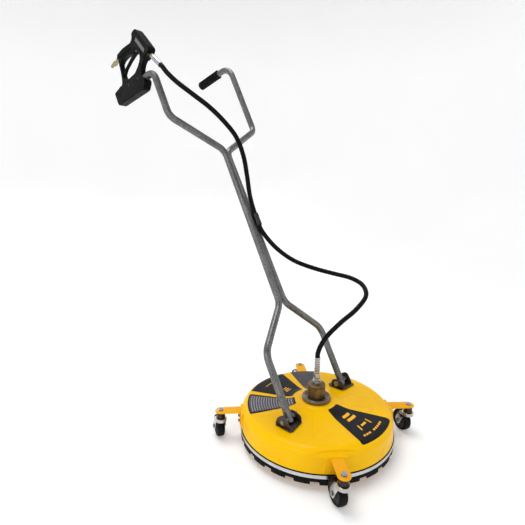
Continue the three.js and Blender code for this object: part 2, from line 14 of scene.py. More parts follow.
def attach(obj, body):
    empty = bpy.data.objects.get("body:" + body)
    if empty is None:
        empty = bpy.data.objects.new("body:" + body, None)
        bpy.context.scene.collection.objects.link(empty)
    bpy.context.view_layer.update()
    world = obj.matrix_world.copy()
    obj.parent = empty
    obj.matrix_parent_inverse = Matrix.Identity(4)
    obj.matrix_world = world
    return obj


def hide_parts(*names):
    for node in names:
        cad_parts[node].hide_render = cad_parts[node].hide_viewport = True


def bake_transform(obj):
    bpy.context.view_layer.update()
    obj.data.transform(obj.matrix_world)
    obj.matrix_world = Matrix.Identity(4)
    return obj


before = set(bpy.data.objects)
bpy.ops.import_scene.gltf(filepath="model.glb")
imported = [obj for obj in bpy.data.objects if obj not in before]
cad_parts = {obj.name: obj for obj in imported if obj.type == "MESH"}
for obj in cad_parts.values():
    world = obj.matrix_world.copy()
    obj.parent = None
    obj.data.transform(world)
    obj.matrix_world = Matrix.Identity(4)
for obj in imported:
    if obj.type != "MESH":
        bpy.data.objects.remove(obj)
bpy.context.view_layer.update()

DECK_Y = 300.0
UP = Vector((0, 0, 1))


def row(v):
    """A point in deck millimetres, as a point in the frame's metres."""
    return Vector((v[0], v[1] + DECK_Y, v[2])) * 0.001


def add_object(name, data):
    obj = bpy.data.objects.new(name, data)
    bpy.context.collection.objects.link(obj)
    return obj


def spin(angle):
    return Matrix.Rotation(radians(angle), 4, "Z")


# ---------------------------------------------------------------- camera
CAMERA_TURNS = (130.759, 10.383, 0.363)
CAMERA_TARGET = Vector((0, -254.13, 598.6))
CAMERA_DISTANCE, CAMERA_LENS = 1432.57, 26.27


def set_camera():
    azimuth, elevation, roll = (radians(a) for a in CAMERA_TURNS)
    back = Vector((
        sin(azimuth) * cos(elevation),
        -cos(azimuth) * cos(elevation),
        sin(elevation),
    ))
    right = (-back).cross(UP).normalized()
    up = right.cross(-back)
    x = cos(roll) * right + sin(roll) * up
    y = -sin(roll) * right + cos(roll) * up
    data = bpy.data.cameras.new("camera")
    data.sensor_width = 36
    data.lens = CAMERA_LENS
    data.clip_start = 0.05
    data.clip_end = 60
    camera = add_object("camera", data)
    turn = Matrix((x, y, back)).transposed().to_4x4()
    camera.matrix_world = Matrix.Translation(row(CAMERA_TARGET + back * CAMERA_DISTANCE)) @ turn
    bpy.context.scene.camera = camera


set_camera()


# ---------------------------------------------------------------- mesh helpers
def finish_mesh(obj, crease=32):
    for polygon in obj.data.polygons:
        polygon.use_smooth = True
    obj.data.set_sharp_from_angle(angle=radians(crease))


def piece(name, verts, faces, material, body, nodes=(), slot=None, crease=32):
    """A new mesh piece from deck millimetres, riding on a body and standing for CAD nodes."""
    mesh = bpy.data.meshes.new(name)
    mesh.from_pydata([row(v) for v in verts], [], faces)
    bm = bmesh.new()
    bm.from_mesh(mesh)
    bmesh.ops.remove_doubles(bm, verts=bm.verts, dist=1e-6)
    bmesh.ops.recalc_face_normals(bm, faces=bm.faces)
    bm.to_mesh(mesh)
    bm.free()
    mesh.materials.append(material)
    obj = add_object(name, mesh)
    finish_mesh(obj, crease)
    if body:
        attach(obj, body)
    if nodes:
        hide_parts(*([nodes] if isinstance(nodes, str) else nodes))
    return obj


class Shape:
    """Vertices and faces that several simple solids are gathered into."""

    def __init__(self):
        self.verts, self.faces = [], []

    def add(self, verts, faces, place=None):
        start = len(self.verts)
        for v in verts:
            v = Vector(v)
            self.verts.append(place @ v if place else v)
        self.faces.extend([start + i for i in f] for f in faces)
        return self

    def make(self, name, *how, **options):
        return piece(name, self.verts, self.faces, *how, **options)


def along_x(a, b, c):
    return c, a, b


def along_y(a, b, c):
    return a, c, b


def along_z(a, b, c):
    return a, b, c


def ring_faces(rings, sides, closed=False):
    """The quads that join each ring of vertices to the next, and a cap at each end if closed."""
    faces = []
    for i in range(rings - 1):
        for k in range(sides):
            j = (k + 1) % sides
            faces.append([i * sides + k, i * sides + j, (i + 1) * sides + j, (i + 1) * sides + k])
    if closed:
        last = (rings - 1) * sides
        faces += [list(range(sides))[::-1], list(range(last, last + sides))]
    return faces


def rectangle(half, low, high):
    return [(-half, low), (half, low), (half, high), (-half, high)]


def mirrored(half, middle=()):
    """A profile that is the same on both sides of zero, from its lower half."""
    return [*half, *middle, *((r, -z) for r, z in reversed(half))]


def grid_faces(rows, columns):
    """The quads of an open grid of vertices, row after row."""
    width = columns + 1
    corners = (i * width + k for i in range(rows) for k in range(columns))
    return [[a, a + 1, a + width + 1, a + width] for a in corners]


def aim(at, direction):
    """The placing of a solid built along Z so that it starts at a point and runs along a direction."""
    return Matrix.Translation(at) @ UP.rotation_difference(Vector(direction)).to_matrix().to_4x4()


def soften(points, radius, steps=3, closed=False):
    """Rounds the corners of a line of 2-D points, all but its ends unless it is closed."""
    out = []
    count = len(points)
    for i, p in enumerate(points):
        if not closed and i in (0, count - 1):
            out.append(p)
            continue
        p = Vector(p)
        before, after = Vector(points[i - 1]), Vector(points[(i + 1) % count])
        trim = min(radius, (before - p).length / 2.1, (after - p).length / 2.1)
        a, b = p + (before - p).normalized() * trim, p + (after - p).normalized() * trim
        for k in range(steps + 1):
            t = k / steps
            out.append(tuple(a * (1 - t) ** 2 + p * 2 * t * (1 - t) + b * t * t))
    return out


def lathe(profile, sides=48, place=None, turn=0.0):
    """A solid turned about Z from [radius, height] points that start and end on the axis or close up."""
    verts, faces, rings = [], [], []
    for r, z in profile:
        if r < 1e-6:
            rings.append([len(verts)] * sides)
            verts.append((0, 0, z))
        else:
            rings.append(list(range(len(verts), len(verts) + sides)))
            for i in range(sides):
                a = turn + 2 * pi * i / sides
                verts.append((r * cos(a), r * sin(a), z))
    for lower, upper in zip(rings, rings[1:]):
        for i in range(sides):
            j = (i + 1) % sides
            quad = [lower[i], lower[j], upper[j], upper[i]]
            face = [v for k, v in enumerate(quad) if v != quad[k - 1]]
            if len(set(face)) > 2:
                faces.append(face)
    return [place @ Vector(v) if place else Vector(v) for v in verts], faces


def washer(inner, outer, low, high, sides=40, place=None, edge=0.6):
    corners = [(inner, low), (outer, low), (outer, high), (inner, high)]
    profile = soften(corners, edge, 2, closed=True)
    return lathe(profile + [profile[0]], sides, place)


def plug(radius, low, high, sides=32, place=None, edge=0.8):
    profile = soften([(0, low), (radius, low), (radius, high), (0, high)], edge, 2)
    return lathe(profile, sides, place)


def hexagon(radius, low, high, place=None, edge=0.8, turn=0.0):
    """A hexagon nut or bolt head, with its corners turned down a little at both ends."""
    return lathe([(0, low), (radius * 0.9, low), (radius, low + edge), (radius, high - edge),
                  (radius * 0.9, high), (0, high)], 6, place, turn)


def prism(outline, low, high, basis, edge=0.8, radius=0.0):
    """An outline of 2-D points made into a plate along its third axis, its rims rounded over.

    basis maps (a, b, c) to deck millimetres, with c along the plate's thickness.
    """
    line = soften(outline, radius, 4, closed=True) if radius else outline
    area = sum(a[0] * b[1] - b[0] * a[1] for a, b in zip(line, line[1:] + line[:1]))
    if area < 0:
        line = line[::-1]
    count = len(line)

    def inset(distance):
        moved = []
        for i, p in enumerate(line):
            p = Vector(p)
            before = (p - Vector(line[i - 1])).normalized()
            after = (Vector(line[(i + 1) % count]) - p).normalized()
            n1, n2 = Vector((-before.y, before.x)), Vector((-after.y, after.x))
            normal = (n1 + n2)
            normal = normal / max(normal.length_squared / 2, 0.5)
            moved.append(p + normal * distance)
        return moved

    edge = min(edge, (high - low) / 2.2)
    levels = [(edge, low), (edge * 0.3, low + edge * 0.3), (0, low + edge),
              (0, high - edge), (edge * 0.3, high - edge * 0.3), (edge, high)]
    verts = [basis(p.x, p.y, c) for distance, c in levels for p in inset(distance)]
    return verts, ring_faces(len(levels), count, closed=True)


def sweep(points, radius, sides=20):
    """A round tube along a line, closed at both ends."""
    points = [Vector(p) for p in points]
    tangents = [(points[min(i + 1, len(points) - 1)] - points[max(i - 1, 0)]).normalized()
                for i in range(len(points))]
    normal = tangents[0].orthogonal().normalized()
    verts = []
    last = len(points) - 1
    for i, (p, t) in enumerate(zip(points, tangents)):
        if i:
            normal = tangents[i - 1].rotation_difference(t) @ normal
        normal = (normal - t * normal.dot(t)).normalized()
        side = t.cross(normal)
        for k in range(sides):
            a = 2 * pi * k / sides
            verts.append(p + (normal * cos(a) + side * sin(a)) * radius)
    return verts, ring_faces(last + 1, sides, closed=True)


def catmull(points, spacing):
    """Points at an even spacing on a centripetal Catmull-Rom curve through the given ones."""
    points = [Vector(p) for p in points]
    ends = [points[0] * 2 - points[1], points[-1] * 2 - points[-2]]
    line = [ends[0]] + points + [ends[1]]
    fine = []
    for i in range(1, len(line) - 2):
        p0, p1, p2, p3 = line[i - 1:i + 3]
        t0, t1 = 0.0, (p1 - p0).length ** 0.5
        t2 = t1 + (p2 - p1).length ** 0.5
        t3 = t2 + (p3 - p2).length ** 0.5
        for k in range(24):
            t = t1 + (t2 - t1) * k / 24
            a1 = p0 * ((t1 - t) / (t1 - t0)) + p1 * ((t - t0) / (t1 - t0))
            a2 = p1 * ((t2 - t) / (t2 - t1)) + p2 * ((t - t1) / (t2 - t1))
            a3 = p2 * ((t3 - t) / (t3 - t2)) + p3 * ((t - t2) / (t3 - t2))
            b1 = a1 * ((t2 - t) / (t2 - t0)) + a2 * ((t - t0) / (t2 - t0))
            b2 = a2 * ((t3 - t) / (t3 - t1)) + a3 * ((t - t1) / (t3 - t1))
            fine.append(b1 * ((t2 - t) / (t2 - t1)) + b2 * ((t - t1) / (t2 - t1)))
    fine.append(points[-1])
    lengths = [0.0]
    for a, b in zip(fine, fine[1:]):
        lengths.append(lengths[-1] + (b - a).length)
    total = lengths[-1]
    steps = max(2, round(total / spacing))
    out, k = [], 0
    for i in range(steps + 1):
        goal = total * i / steps
        while k < len(lengths) - 2 and lengths[k + 1] < goal:
            k += 1
        t = (goal - lengths[k]) / (lengths[k + 1] - lengths[k])
        out.append(fine[k].lerp(fine[k + 1], min(max(t, 0), 1)))
    return out, total


def bent_line(corners, steps=10):
    """A line of straight runs joined by arcs; corners are (point, bend radius)."""
    points = [Vector(corners[0][0])]
    for (before, _), (at, bend), (after, _) in zip(corners, corners[1:], corners[2:]):
        at = Vector(at)
        into = (at - Vector(before)).normalized()
        out = (Vector(after) - at).normalized()
        angle = into.angle(out)
        start = at - into * bend * tan(angle / 2)
        inward = (out - into * out.dot(into)).normalized()
        for k in range(steps + 1):
            a = angle * k / steps
            points.append(start + into * bend * sin(a) + inward * bend * (1 - cos(a)))
    points.append(Vector(corners[-1][0]))
    return points


# ---------------------------------------------------------------- materials
def linear(red, green, blue):
    """An sRGB colour from 0 to 255, as the linear colour that shaders take."""
    def channel(c):
        c /= 255
        return c / 12.92 if c <= 0.04045 else ((c + 0.055) / 1.055) ** 2.4
    return channel(red), channel(green), channel(blue), 1.0


class Nodes:
    """A material's node tree, with short calls for the nodes used here."""

    def __init__(self, name):
        self.material = bpy.data.materials.new(name)
        self.material.use_nodes = True
        self.tree = self.material.node_tree
        self.shader = self.tree.nodes["Principled BSDF"]
        self.where = self.tree.nodes.new("ShaderNodeTexCoord").outputs["Object"]

    def link(self, a, b):
        self.tree.links.new(a, b)

    def new(self, kind, **values):
        node = self.tree.nodes.new("ShaderNode" + kind)
        for key, value in values.items():
            node.inputs[key.replace("_", " ")].default_value = value
        return node

    def stretch(self, scale):
        node = self.new("Mapping", Scale=scale)
        self.link(self.where, node.inputs["Vector"])
        return node.outputs["Vector"]

    def noise(self, scale, detail=4.0, roughness=0.55, vector=None):
        node = self.new("TexNoise", Scale=scale, Detail=detail, Roughness=roughness)
        self.link(vector or self.where, node.inputs["Vector"])
        return node.outputs["Fac"]

    def cells(self, scale):
        node = self.new("TexVoronoi", Scale=scale)
        node.feature = "SMOOTH_F1"
        self.link(self.where, node.inputs["Vector"])
        return node.outputs["Distance"]

    def range(self, value, low, high, to_low=0.0, to_high=1.0):
        node = self.new("MapRange", From_Min=low, From_Max=high, To_Min=to_low, To_Max=to_high)
        self.link(value, node.inputs["Value"])
        return node.outputs["Result"]

    def mix(self, factor, a, b):
        node = self.new("Mix")
        node.data_type = "RGBA"
        self.link(factor, node.inputs["Factor"])
        for socket, value in ((node.inputs["A"], a), (node.inputs["B"], b)):
            if hasattr(value, "links"):
                self.link(value, socket)
            else:
                socket.default_value = value
        return node.outputs["Result"]

    def bump(self, height, distance, strength=1.0, under=None):
        node = self.new("Bump", Distance=distance, Strength=strength)
        self.link(height, node.inputs["Height"])
        if under:
            self.link(under, node.inputs["Normal"])
        return node.outputs["Normal"]

    def done(self, color=None, rough=None, normal=None, **uniform):
        for value, key in ((color, "Base Color"), (rough, "Roughness"), (normal, "Normal")):
            if value is not None and hasattr(value, "links"):
                self.link(value, self.shader.inputs[key])
            elif value is not None:
                self.shader.inputs[key].default_value = value
        for key, value in uniform.items():
            self.shader.inputs[key.replace("_", " ")].default_value = value
        return self.material


def shade(color, factor):
    return tuple(c * factor for c in color[:3]) + (1.0,)


def powder_coat(name, color, deep, rough=0.3, coat=0.5):
    """Gloss paint: slow drifts of colour, a fine orange peel, faint dust and rubbed patches."""
    n = Nodes(name)
    drift = n.range(n.noise(5.5, 3), 0.3, 0.72)
    tone = n.mix(drift, color, deep)
    dust = n.range(n.noise(38, 6, 0.62), 0.6, 0.8, 0.0, 0.06)
    tone = n.mix(dust, tone, linear(205, 190, 150))
    specks = n.range(n.noise(420, 2), 0.72, 0.8, 0.0, 0.12)
    tone = n.mix(specks, tone, shade(deep, 0.6))
    gloss = n.range(n.noise(26, 5, 0.6), 0.3, 0.7, rough - 0.07, rough + 0.12)
    peel = n.bump(n.noise(310, 3), 0.00022, 0.35)
    normal = n.bump(n.noise(9, 2), 0.0012, 0.16, peel)
    return n.done(tone, gloss, normal, Coat_Weight=coat, Coat_Roughness=0.12, Specular_IOR_Level=0.06)


def hammered(name, color, dark):
    """Hammered grey enamel: shallow rounded dimples with darker rims."""
    n = Nodes(name)
    dimples = n.cells(330)
    tone = n.mix(n.range(dimples, 0.15, 0.75), color, dark)
    tone = n.mix(n.range(n.noise(14, 4), 0.35, 0.7, 0.0, 0.5), tone, dark)
    scuffs = n.range(n.noise(1.0, 4, 0.6, n.stretch((60, 9, 9))), 0.64, 0.72, 0.0, 0.3)
    tone = n.mix(scuffs, tone, linear(158, 160, 162))
    gloss = n.range(n.noise(60, 4), 0.3, 0.7, 0.26, 0.44)
    normal = n.bump(dimples, 0.0006, 0.55)
    return n.done(tone, gloss, normal, Metallic=0.75, Coat_Weight=0.3, Coat_Roughness=0.14)


def metal(name, color, rough, grain, tint, patches=0.35):
    """Bare or plated metal with a fine grain, duller patches and slight discolouring; on the fork chrome the
    warm darker patches are painted reflection and shade, and on the castor races the dark brown tone is
    partly painted shade.
    """
    n = Nodes(name)
    lines = n.noise(900, 3, 0.6, n.stretch(grain))
    blotch = n.range(n.noise(34, 5, 0.6), 0.42, 0.72, 0.0, patches)
    tone = n.mix(n.range(lines, 0.3, 0.7), color, shade(color, 0.78))
    tone = n.mix(blotch, tone, tint)
    gloss = n.range(n.noise(55, 5, 0.65), 0.3, 0.75, rough - 0.08, rough + 0.16)
    return n.done(tone, gloss, n.bump(lines, 0.00008, 0.5), Metallic=1.0)


def rubber(name, color, dusty, rough=0.62, grain=480, dust=0.3, bump=0.00015):
    """Black rubber or plastic with a moulded grain, and dust in soft patches."""
    n = Nodes(name)
    fine = n.noise(grain, 3)
    patch = n.range(n.noise(24, 6, 0.62), 0.46, 0.78, 0.0, dust)
    tone = n.mix(n.range(fine, 0.3, 0.7, 0.0, 0.5), color, shade(color, 1.6))
    tone = n.mix(patch, tone, dusty)
    gloss = n.range(n.noise(70, 4), 0.3, 0.7, rough - 0.1, rough + 0.12)
    return n.done(tone, gloss, n.bump(fine, bump, 0.6), Specular_IOR_Level=0.08)


PAINT = powder_coat("deck_yellow_gloss", linear(250, 196, 3), linear(243, 184, 2), 0.3, 0.09)
ARM_PAINT = powder_coat("arm_orange_gloss", linear(246, 180, 22), linear(236, 164, 12), 0.36, 0.1)
TUBE = hammered("hammered_grey", linear(134, 134, 133), linear(70, 71, 72))
DARK = hammered("bracket_oxide", linear(82, 74, 66), linear(46, 42, 40))
FLANGE = hammered("flange_grey", linear(140, 128, 110), linear(92, 84, 76))
BRONZE = metal("swivel_bronze", linear(138, 116, 78), 0.4, (1, 1, 30), linear(64, 56, 46), 0.6)
ZINC = metal("zinc_plate", linear(196, 198, 204), 0.22, (12, 12, 1), linear(140, 140, 142))
STEEL = metal("machined_steel", linear(150, 150, 150), 0.33, (1, 1, 14), linear(104, 98, 88), 0.45)
STRIP = metal("stainless_strip", linear(214, 216, 220), 0.3, (1, 1, 40), linear(168, 168, 170))
# Fork chrome: a real fine grain, with warm darker patches that are painted reflection and shade.
CHROME = metal("fork_chrome", linear(206, 206, 204), 0.16, (3, 3, 3), linear(132, 124, 110), 0.5)
BRASS = metal("fitting_brass", linear(170, 160, 122), 0.28, (1, 14, 14), linear(120, 108, 76), 0.5)
SKIRT = rubber("skirt_rubber", linear(10, 10, 10), linear(48, 47, 44), 0.66, 260, 0.2)
TYRE = rubber("tyre_rubber", linear(15, 15, 15), linear(54, 53, 50), 0.6, 300, 0.26)
HOSE = rubber("hose_cover", linear(9, 9, 10), linear(36, 36, 38), 0.4, 700, 0.2, 0.0001)
GRIP = rubber("grip_rubber", linear(6, 6, 7), linear(30, 30, 30), 0.55, 900, 0.2)
PLASTIC = rubber("gun_plastic", linear(4, 4, 5), linear(24, 24, 26), 0.44, 1200, 0.12, 0.00012)
HUB = rubber("wheel_hub_plastic", linear(62, 62, 64), linear(96, 94, 90), 0.5, 600, 0.3)
VINYL = rubber("sticker_black", linear(26, 25, 29), linear(50, 49, 52), 0.4, 1500, 0.3, 0.00003)
VINYL_GREY = rubber("sticker_grey", linear(74, 70, 74), linear(104, 98, 92), 0.42, 1500, 0.45, 0.00003)
MARK_YELLOW = rubber("sticker_yellow", linear(236, 176, 40), linear(214, 158, 60), 0.4, 1500, 0.5, 0.00003)
MARK_GREY = rubber("sticker_pale", linear(150, 150, 160), linear(118, 116, 124), 0.45, 1500, 0.6, 0.00003)
# Castor races: dark brownish steel, partly the steel's own colour and partly painted shade of the narrow gap
# under the arm plate.
RACE = metal("greased_steel", linear(76, 66, 58), 0.3, (1, 1, 12), linear(38, 32, 28), 0.6)
BLACK_STEEL = metal("blackened_steel", linear(70, 70, 72), 0.36, (1, 1, 8), linear(40, 40, 42), 0.5)
FOIL = metal("label_foil", linear(132, 133, 136), 0.42, (1, 10, 10), linear(96, 96, 98), 0.5)


# ---------------------------------------------------------------- deck
DECK_R, SKIRT_TOP, DECK_FLOOR = 264.0, 54.4, 43.0
SHOULDER_R, SHOULDER_C, SHOULDER_Z = 28.5, 233.0, 99.5
LEDGE_DISTANCE, LEDGE_Z, SHELL = 249.0, 112.0, 3.0
RISE_TOP_R, RISE_R, RISE_BLEND, RISE_TOP = 60.0, 112.0, 14.0, 142.5
TOP_SLOPE, RISE_SLOPE = 0.01176, 0.2091
CREASE_START, CREASE_END, CREASE_DEPTH, CREASE_WIDTH = 62.0, 238.0, 0.9, 4.2
ANGLES = {"front_right": 46, "front_left": 134, "rear_left": 225, "rear_right": 315}


def top_height(r):
    """The deck top's height at a radius."""
    if r < RISE_TOP_R:
        return RISE_TOP
    if r < RISE_TOP_R + 4:
        return RISE_TOP - 2.5 * (r - RISE_TOP_R) / 4
    if r < SHOULDER_C:
        into = min(max(RISE_R + RISE_BLEND - r, 0), 2 * RISE_BLEND)
        rise = RISE_SLOPE * (into * into / (4 * RISE_BLEND) + max(RISE_R - RISE_BLEND - r, 0))
        return SHOULDER_Z + SHOULDER_R + TOP_SLOPE * (SHOULDER_C - r) + rise
    return SHOULDER_Z + sqrt(max(SHOULDER_R ** 2 - (r - SHOULDER_C) ** 2, 0))


def crease(x, y):
    """The depth of the shallow pressed creases that run out to the ends of each ledge."""
    depth = 0.0
    for azimuth in ANGLES.values():
        for lean in (-14, 14):
            a, b = radians(azimuth + lean * 1.6), radians(azimuth + lean)
            p = Vector((CREASE_START * cos(a), CREASE_START * sin(a)))
            q = Vector(((CREASE_END + 2) * cos(b), (CREASE_END + 2) * sin(b)))
            run = q - p
            t = (Vector((x, y)) - p).dot(run) / run.length_squared
            if not 0 < t < 1:
                continue
            away = (Vector((x, y)) - p - run * t).length
            fade = min(t * 5, (1 - t) * 5, 1)
            depth = max(depth, CREASE_DEPTH * fade * exp(-(away / CREASE_WIDTH) ** 2))
    return depth


def ledge(v, distance, level):
    """Presses the four flat ledges over the castor arms into a point of the shell."""
    for azimuth in ANGLES.values():
        a = radians(azimuth)
        out = Vector((cos(a), sin(a)))
        over = v.x * out.x + v.y * out.y - distance
        rise = v.z - level
        if over <= 0 or rise <= 0:
            continue
        share = min(max((over - rise) / 3 + 0.5, 0), 1)
        share = share * share * (3 - 2 * share)
        v.z -= rise * share
        v.x -= out.x * over * (1 - share)
        v.y -= out.y * over * (1 - share)


def arc(radius, start, end, steps):
    """Points of the shoulder's round section, from one angle in degrees to another."""
    return [(SHOULDER_C + radius * cos(radians(start + (end - start) * i / steps)),
             SHOULDER_Z + radius * sin(radians(start + (end - start) * i / steps)))
            for i in range(steps + 1)]


def deck_shell():
    lip = 261.7
    outer = [(lip, SKIRT_TOP + 0.4), (DECK_R - 0.8, SKIRT_TOP + 0.4), (DECK_R, SKIRT_TOP + 1.2)]
    outer += [(DECK_R - 2.5 * t, SKIRT_TOP + 3 + (SHOULDER_Z - SKIRT_TOP - 3) * t) for t in (0, 0.33, 0.66)]
    outer += arc(SHOULDER_R, 0, 90, 26)
    outer += [(r, top_height(r)) for r in range(226, 130, -6)]
    outer += [(r, top_height(r)) for r in range(130, 70, -3)]
    outer += soften([(r, top_height(r)) for r in (70, 64, 60, 56)], 2.2, 4)
    outer += [(50, RISE_TOP), (36, RISE_TOP), (27.6, RISE_TOP), (27, RISE_TOP - 0.6)]
    inner = [(27, 139.5), (58, 139.5), (64, 136.6), (112, 126.5), (180, 125.7)]
    inner += arc(SHOULDER_R - SHELL, 90, 0, 14)
    inner += [(258.4, 75), (258.4, DECK_FLOOR + 0.5), (259, DECK_FLOOR), (lip - 0.5, DECK_FLOOR)]
    inner += [(lip, DECK_FLOOR + 0.5), (lip, SKIRT_TOP + 0.4)]
    sides = 540
    verts, faces = lathe(outer + inner, sides)
    edge = len(outer) * sides
    for i, v in enumerate(verts):
        if i < edge:
            if v.z > 125 and 66 < v.xy.length < 240:
                v.z -= crease(v.x, v.y)
            ledge(v, LEDGE_DISTANCE, LEDGE_Z)
        else:
            ledge(v, LEDGE_DISTANCE - SHELL, LEDGE_Z - SHELL)
    shape = Shape().add(verts, faces)
    for azimuth in ANGLES.values():
        pad = prism(rectangle(37, 60, LEDGE_Z - 0.2), 258, 265.8, along_x, 1.6, 3)
        shape.add(*pad, spin(azimuth))
    shape.make("deck_shell_pressing", PAINT, "deck", "deck_shell", "deck_paint", 40)


def rivets():
    """Small fastener heads round the deck wall, over the clamp band."""
    shape = Shape()
    for azimuth in (9, 81, 99, 171, 189, 261, 279, 351):
        a = radians(azimuth)
        out = Vector((cos(a), sin(a), 0))
        shape.add(*plug(2.6, -1.2, 0.7, 14, aim(out * 263.2 + Vector((0, 0, 71)), out), 0.6))
    shape.make("deck_rivets", ARM_PAINT, "deck", slot="arm_paint")


def skirt():
    teeth, radius, thickness, bottom, top = 22, 265.6, 3.6, 19.5, 54.4
    period = 2 * pi / teeth
    half = 13.5 / radius
    edge = 0.5 / radius
    offsets = [-half - edge, -half + edge, -half / 3, half / 3, half - edge, half + edge]
    offsets += [half + edge + (period - 2 * half - 2 * edge) * t for t in (0.25, 0.5, 0.75)]
    angles = [(i * period + o, abs(o) < half) for i in range(teeth) for o in offsets]
    verts, faces = [], []
    inner = radius - thickness
    for a, notch in angles:
        low = bottom + 9 if notch else bottom
        c, s = cos(a), sin(a)
        section = [(inner, top), (inner, low + 0.8), (inner + 0.8, low), (radius - 0.8, low),
                   (radius, low + 0.8), (radius, top - 0.6), (radius - 0.6, top)]
        verts.extend((r * c, r * s, z) for r, z in section)
    count, size = len(angles), 7
    for i in range(count):
        j = (i + 1) % count
        for k in range(size):
            m = (k + 1) % size
            faces.append([i * size + k, j * size + k, j * size + m, i * size + m])
    piece("skirt_moulding", verts, faces, SKIRT, "deck", "rubber_skirt", "skirt_rubber", 45)


def clamp_band():
    low, high, inner, outer = 41.5, 52.5, 265.9, 267.2
    profile = [(inner, low + 0.4), (outer - 0.5, low), (outer, low + 1.2), (outer - 0.35, low + 2.4),
               (outer - 0.35, high - 2.4), (outer, high - 1.2), (outer - 0.5, high), (inner, high - 0.4)]
    piece("clamp_band_strip", *lathe(profile + profile[:1], 240), STRIP, "deck", "clamp_band",
          "band_steel", 50)
    y = -267.5
    shape = Shape()
    shape.add(*prism(rectangle(14, 41.7, 52.3), y - 8.6, y - 0.1, along_y, 1.2, 2.5))
    worm = aim((-19.5, y - 4.5, 47), (1, 0, 0))
    shape.add(*hexagon(4.4, 0, 5, worm))
    turns = [(0, 5)] + [(3.3 + 0.9 * (i % 2), 5 + i * 1.1) for i in range(31)] + [(0, 39)]
    shape.add(*lathe(turns, 18, worm))
    shape.make("band_screw_housing", ZINC, "deck", "band_screw", "band_steel")


def on_deck(bearing, r, lift):
    """A point a little above the deck top, at a bearing in radians and a radius."""
    x, y = r * sin(bearing), r * cos(bearing)
    return x, y, top_height(r) + lift - (crease(x, y) if r < CREASE_END else 0)


def sector(name, start, end, inner, outer, material, lift=0.35, corner=5.0):
    """A sticker between two bearings (degrees clockwise from forward) that lies on the deck top."""
    rows = [inner + (outer - inner) * i / 60 for i in range(61)]
    columns = 64
    verts = []
    for r in rows:
        trim = max(corner - (r - inner), corner - (outer - r), 0)
        pull = corner - sqrt(max(corner ** 2 - trim ** 2, 0)) if trim else 0
        shift = degrees(pull / r)
        for k in range(columns + 1):
            bearing = radians(start + shift + (end - start - 2 * shift) * k / columns)
            verts.append(on_deck(bearing, r, lift))
    faces = grid_faces(len(rows) - 1, columns)
    piece(name, verts, faces, material, "deck", slot="label_foil")


def marks(name, blocks, material, lift=0.55):
    """Printed blocks on a sticker: each is the four corners (bearing in degrees, radius) of one patch."""
    shape = Shape()
    steps = 5
    for corners in blocks:
        verts = []
        for i in range(steps + 1):
            for k in range(steps + 1):
                u, v = i / steps, k / steps
                low = [corners[0][m] * (1 - u) + corners[1][m] * u for m in (0, 1)]
                high = [corners[3][m] * (1 - u) + corners[2][m] * u for m in (0, 1)]
                bearing, r = (low[m] * (1 - v) + high[m] * v for m in (0, 1))
                verts.append(on_deck(radians(bearing), r, lift))
        shape.add(verts, grid_faces(steps, steps))
    shape.make(name, material, "deck", slot="label_foil")


def block(bearing, radius, width, height, slant=0.0):
    """A patch centred on a bearing and radius, its width along the arc, in millimetres."""
    half = degrees(width / 2 / radius)
    lean = degrees(slant / radius)
    low, high = radius - height / 2, radius + height / 2
    return [(bearing - half - lean, low), (bearing + half - lean, low),
            (bearing + half + lean, high), (bearing - half + lean, high)]


def stickers():
    sector("sticker_front", -18, 24, 70, 250, VINYL)
    sector("sticker_rear", 157.5, 202.5, 86, 246, VINYL)
    sector("sticker_side_edge", 121, 152, 75, 242, VINYL, 0.3)
    sector("sticker_side_grey", 122.6, 150.4, 80, 237, VINYL_GREY, 0.5)
    sector("sticker_left_rear", 211, 236, 80, 247, VINYL_GREY)
    bold = [block(3, 122, 36, 12, 2), block(3, 143, 44, 12, 2), block(3, 186, 26, 8, 1)]
    bold += [block(3 + o, 190, 5, 24, 3) for o in (-8, 8)]
    bold += [block(-9 + 3.1 * i, 224, 9, 7, 1) for i in range(9) if i != 5]
    marks("sticker_front_marks", bold, MARK_YELLOW)
    bars = [block(180 + 0.6 * i, 122 + 9 * i, 30 - 6 * i, 4.5, 3) for i in range(3)]
    bars += [block(172 + 3.4 * i, 205, 9, 4, 1) for i in range(5)]
    marks("sticker_rear_marks", bars, MARK_YELLOW)
    random.seed(11)
    lines = []
    for i in range(17):
        r = 88 + 8.8 * i
        bearing, stop = 124.2, 149.0
        while bearing < stop:
            length = random.uniform(2.5, 7.5) * 90 / r
            end = min(bearing + length, stop)
            lines.append([(bearing, r - 1.6), (end, r - 1.6), (end, r + 1.6), (bearing, r + 1.6)])
            bearing = end + 1.1 * 90 / r
    marks("sticker_side_lines", lines, MARK_GREY, 0.65)


deck_shell()
rivets()
skirt()
clamp_band()
stickers()


